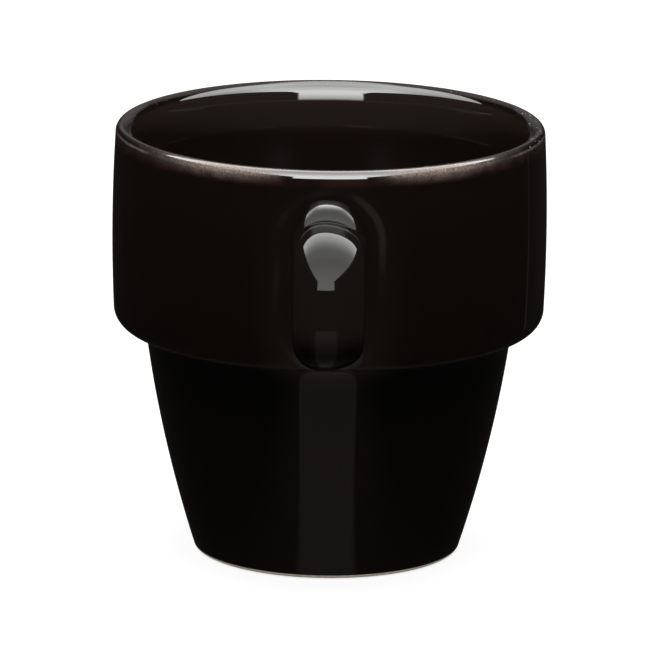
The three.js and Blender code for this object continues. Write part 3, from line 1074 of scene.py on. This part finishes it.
half = FLOOR_SIZE / 2
floor_points = np.array([[-half, -half, 0], [half, -half, 0], [half, half, 0], [-half, half, 0]])
floor = smooth_piece("paper_floor", floor_points - [0, 0, FLOOR_DROP], [[0, 1, 2, 3]])

paper, bench, surface = bare_material("paper")
diffuse = bench.lay("BsdfDiffuse", {"Color": FLOOR_COLOR})[0]
lift = bench.lay("Emission", {"Strength": bench.times(seen_directly(bench), FLOOR_LIFT)})[0]
bench.feed(surface, bench.lay("AddShader", {0: diffuse, 1: lift})[0])
floor.data.materials.append(paper)

# %% [markdown]
# A dark glossy cup shows its surroundings more than itself, so a photographer puts it in a dark tent and
# hangs light in it. The tent is a dome round the cup, closed below by a sheet on the paper. Only
# reflections see it: it lights nothing itself and casts no shadow.

# %% The tent
TENT_RADIUS = 2.4
TENT_ROWS = 32
TENT_COLUMNS = 64
TABLE_GAP = 0.1 * MM


def tent_mesh():
    """A half sphere as a grid of elevation e by angle a, at r cos(e) from the cup's axis and r sin(e) up,
    and one flat face under it."""
    elevation = np.radians(np.linspace(0, 90, TENT_ROWS))[:, None]
    angle = 2 * np.pi * np.arange(TENT_COLUMNS) / TENT_COLUMNS
    x = TENT_RADIUS * np.cos(elevation) * np.cos(angle)
    y = AXIS_Y + TENT_RADIUS * np.cos(elevation) * np.sin(angle)
    z = np.repeat(TENT_RADIUS * np.sin(elevation), TENT_COLUMNS, 1) - TABLE_GAP
    points = np.stack([x, y, z], -1).reshape(-1, 3)
    faces = grid_faces(TENT_ROWS, TENT_COLUMNS).tolist()
    faces.append(list(range(TENT_COLUMNS)))
    return smooth_piece("light_tent", points, faces)


tent = tent_mesh()
tent.visible_camera = False
tent.visible_diffuse = False
tent.visible_transmission = False
tent.visible_shadow = False
tent.visible_volume_scatter = False

# %% [markdown]
# The panels are drawn by direction from the middle of the cup. Turn is the angle from the front, over the
# top, to the back, as a share of a half turn. Width is the sideways part, and divided by the upward,
# forward or backward part it gives panels with straight sides.

# %% Directions in the tent
NEVER_ZERO = 0.001

tent_light, sky, tent_surface = bare_material("tent_light")
_, tent_x, tent_y, tent_z = sky.object_place()
height = sky.minus(tent_z, CUP_HEIGHT / 2)
back = sky.minus(tent_y, AXIS_Y)
front = sky.times(back, -1.0)
width = sky.math("ABSOLUTE", tent_x)
up = sky.larger(height, NEVER_ZERO)
ahead = sky.larger(front, NEVER_ZERO)
behind = sky.larger(back, NEVER_ZERO)
turn = sky.over(sky.math("ARCTAN2", height, front), np.pi)
print("directions take", len(sky.nodes), "nodes")

# %% [markdown]
# One big soft panel hangs overhead and reaches far back. A narrow stem goes down from it in front, and a
# dim sheet goes on behind it and down the back wall. The levels give the light in degrees of turn.

# %% The panels and their light
PANEL_HALF_WIDTH = 1.22
PANEL_FRONT = 17 / 180
PANEL_BACK = 122 / 180
STEM_HALF_WIDTH = 0.35
STEM_BOTTOM = -5 / 180
STEM_TOP = 30 / 180
ABOVE_HALF_WIDTH = 0.48
ABOVE_SOFT = 0.14
ABOVE_BACK = 150 / 180
LOW_BACK_HALF_WIDTH = 0.33
LOW_BACK_SOFT = 0.08
LOW_BACK_END = 1.1
SOFT = 0.03
ANGLE_SOFT = 0.5 / 180
BRIGHTEST = 6.0
LEVELS = ((0, 2.4), (20, 2.2), (54, 1.65), (79, 2.0), (89, 2.9), (104, 4.9), (121, 5.9), (123, 0.42),
          (150, 0.3), (166, 0.17), (173, 0.03))

panel = sky.times(sky.between(turn, PANEL_FRONT, PANEL_BACK, ANGLE_SOFT),
                  sky.under(sky.over(width, up), PANEL_HALF_WIDTH, SOFT))
stem = sky.times(sky.between(turn, STEM_BOTTOM, STEM_TOP, ANGLE_SOFT),
                 sky.under(sky.over(width, ahead), STEM_HALF_WIDTH, SOFT / 2))
above_back = sky.times(sky.between(turn, PANEL_BACK, ABOVE_BACK, ANGLE_SOFT),
                       sky.under(sky.over(width, up), ABOVE_HALF_WIDTH, ABOVE_SOFT))
low_back = sky.times(sky.between(turn, ABOVE_BACK, LOW_BACK_END, ANGLE_SOFT),
                     sky.under(sky.over(width, behind), LOW_BACK_HALF_WIDTH, LOW_BACK_SOFT))
lit = sky.larger(sky.larger(panel, stem), sky.larger(above_back, low_back))

level = sky.nodes.new("ShaderNodeValToRGB")
sky.feed(level.inputs[0], turn)
stops = level.color_ramp.elements
for index, (angle, bright) in enumerate(LEVELS):
    stop = stops[index] if index < 2 else stops.new(angle / 180)
    stop.position = angle / 180
    stop.color = (bright / BRIGHTEST, bright / BRIGHTEST, bright / BRIGHTEST, 1)
panel_light = sky.times(lit, level.outputs[0], BRIGHTEST)
print("panels with", len(stops), "levels of light")

# %% [markdown]
# The lower body leans over the table and mirrors what lies there: a faint streak of light that widens
# towards the front, and on the right the dim edge of a card. Both are drawn on the tent's floor.

# %% The streak and the card on the table
STREAK_SLOPE = 0.3
STREAK_INSET = 0.0016
STREAK_SOFT = 0.0012
STREAK_LIGHT = 0.15
STREAK_FRINGE = 0.25
STREAK_FRINGE_REACH = 0.03
STREAK_REACH = 0.17
STREAK_END = 0.004
CARD_SLOPE = 1.14
CARD_START = 0.052
CARD_ZONE = 0.005
CARD_SOFT = 0.002
CARD_LINE = 0.08
CARD_LINE_FADE = (0.004, 0.001)
CARD_RIGHT = (0.1, 0.14)

off_streak = sky.minus(width, sky.minus(sky.times(front, STREAK_SLOPE), STREAK_INSET))
core = sky.ramp(off_streak, STREAK_SOFT, -STREAK_SOFT, 0.0, 1 - STREAK_FRINGE)
fringe = sky.ramp(off_streak, STREAK_FRINGE_REACH, -STREAK_SOFT, 0.0, STREAK_FRINGE)
streak = sky.times(sky.plus(core, fringe), sky.under(front, STREAK_REACH, STREAK_END))
off_card = sky.minus(sky.minus(tent_x, sky.times(back, CARD_SLOPE)), CARD_START)
card_line = sky.ramp(sky.math("ABSOLUTE", off_card), *CARD_LINE_FADE, 0.0, CARD_LINE)
card_light = sky.plus(sky.ramp(off_card, CARD_SOFT, -CARD_SOFT, 0.0, CARD_ZONE), card_line)
card_light = sky.times(sky.ramp(tent_x, *CARD_RIGHT), card_light)
table_light = sky.plus(sky.times(streak, STREAK_LIGHT), card_light)
print("streak reaches", STREAK_REACH, "m in front of the cup's axis")

# %% [markdown]
# The tent's floor shows the table's light, warmed a little, and the dome shows the panels. A trace of
# light everywhere keeps the blacks of the glaze from closing up.

# %% Light the tent
TABLE_TOP = 0.001
TENT_DARK = 0.012
TABLE_TINT = (1.0, 0.9, 0.82)
WHITE = (1.0, 1.0, 1.0)

on_table = sky.math("LESS_THAN", tent_z, TABLE_TOP)
dome_light = sky.times(sky.minus(1.0, on_table), panel_light)
light = sky.plus(dome_light, sky.times(on_table, table_light), TENT_DARK)
tint = sky.mixed(on_table, WHITE, TABLE_TINT)
sky.feed(tent_surface, sky.lay("Emission", {"Strength": light, "Color": tint})[0])
tent.data.materials.append(tent_light)
print("tent light has", len(sky.nodes), "nodes")

# %% [markdown]
# Two lamps light the clay and the paper: a wide soft one overhead and a weaker one in front. The world
# fills in softly, and what looks at it directly sees it white.

# %% Lamps and world
WORLD_FILL = 0.2
CUP_MIDDLE = Vector((0, AXIS_Y, CUP_HEIGHT / 2))


def soft_lamp(name, place, aim, size, power):
    """A square area lamp that looks from place to aim, and isn't itself seen in reflections."""
    lamp = bpy.data.lights.new(name, "AREA")
    lamp.shape = "SQUARE"
    lamp.size = size
    lamp.energy = power
    holder = bpy.data.objects.new(name, lamp)
    bpy.context.scene.collection.objects.link(holder)
    holder.location = place
    holder.rotation_euler = (Vector(aim) - Vector(place)).to_track_quat("-Z", "Y").to_euler()
    holder.visible_glossy = False
    print(name, "of", power, "watts")


soft_lamp("overhead_lamp", place=(0, 0.0, 1.1), aim=CUP_MIDDLE, size=1.2, power=9.0)
soft_lamp("front_lamp", place=(0, -1.5, 0.265), aim=CUP_MIDDLE, size=0.06, power=4.5)

world = bpy.data.worlds.new("studio")
bpy.context.scene.world = world
world.use_nodes = True
bench = Bench(world.node_tree)
background = bench.nodes["Background"].inputs
bench.feed(background["Strength"], bench.ramp(seen_directly(bench), 0.0, 1.0, WORLD_FILL, 1.0))
bench.feed(background["Color"], WHITE)

# %% [markdown]
# The camera stands well back with a long lens, looks down by fourteen degrees and straight at the handle.
# It leans by half a degree, and a small shift puts the cup where the photograph has it.

# %% Camera
FRAME_PIXELS = 660
SENSOR = 36.0
CAMERA_ELEVATION = np.radians(14.0)
CAMERA_DISTANCE = 1.4946
CAMERA_FOCAL_PIXELS = 8232.7
CAMERA_ROLL = np.radians(0.601)
TARGET_HEIGHT = 39 * MM
TARGET_PIXEL = (328.374, 336.52)

target = Vector((0, AXIS_Y, TARGET_HEIGHT))
towards = Vector((0, -np.cos(CAMERA_ELEVATION), np.sin(CAMERA_ELEVATION)))
lens = bpy.data.cameras.new("camera")
camera = bpy.data.objects.new("camera", lens)
bpy.context.scene.collection.objects.link(camera)
bpy.context.scene.camera = camera
lens.sensor_width = SENSOR
lens.lens = CAMERA_FOCAL_PIXELS * SENSOR / FRAME_PIXELS
lens.shift_x = (FRAME_PIXELS / 2 - TARGET_PIXEL[0]) / FRAME_PIXELS
lens.shift_y = (TARGET_PIXEL[1] - FRAME_PIXELS / 2) / FRAME_PIXELS
lens.clip_start = 0.05
lens.clip_end = 20
look = towards.to_track_quat("Z", "Y").to_matrix().to_4x4()
stand = Matrix.Translation(target + towards * CAMERA_DISTANCE)
camera.matrix_world = stand @ look @ Matrix.Rotation(CAMERA_ROLL, 4, "Z")
print("camera", round(CAMERA_DISTANCE, 2), "m away with a lens of", round(lens.lens), "mm")

bpy.context.scene.view_settings.view_transform = "Standard"
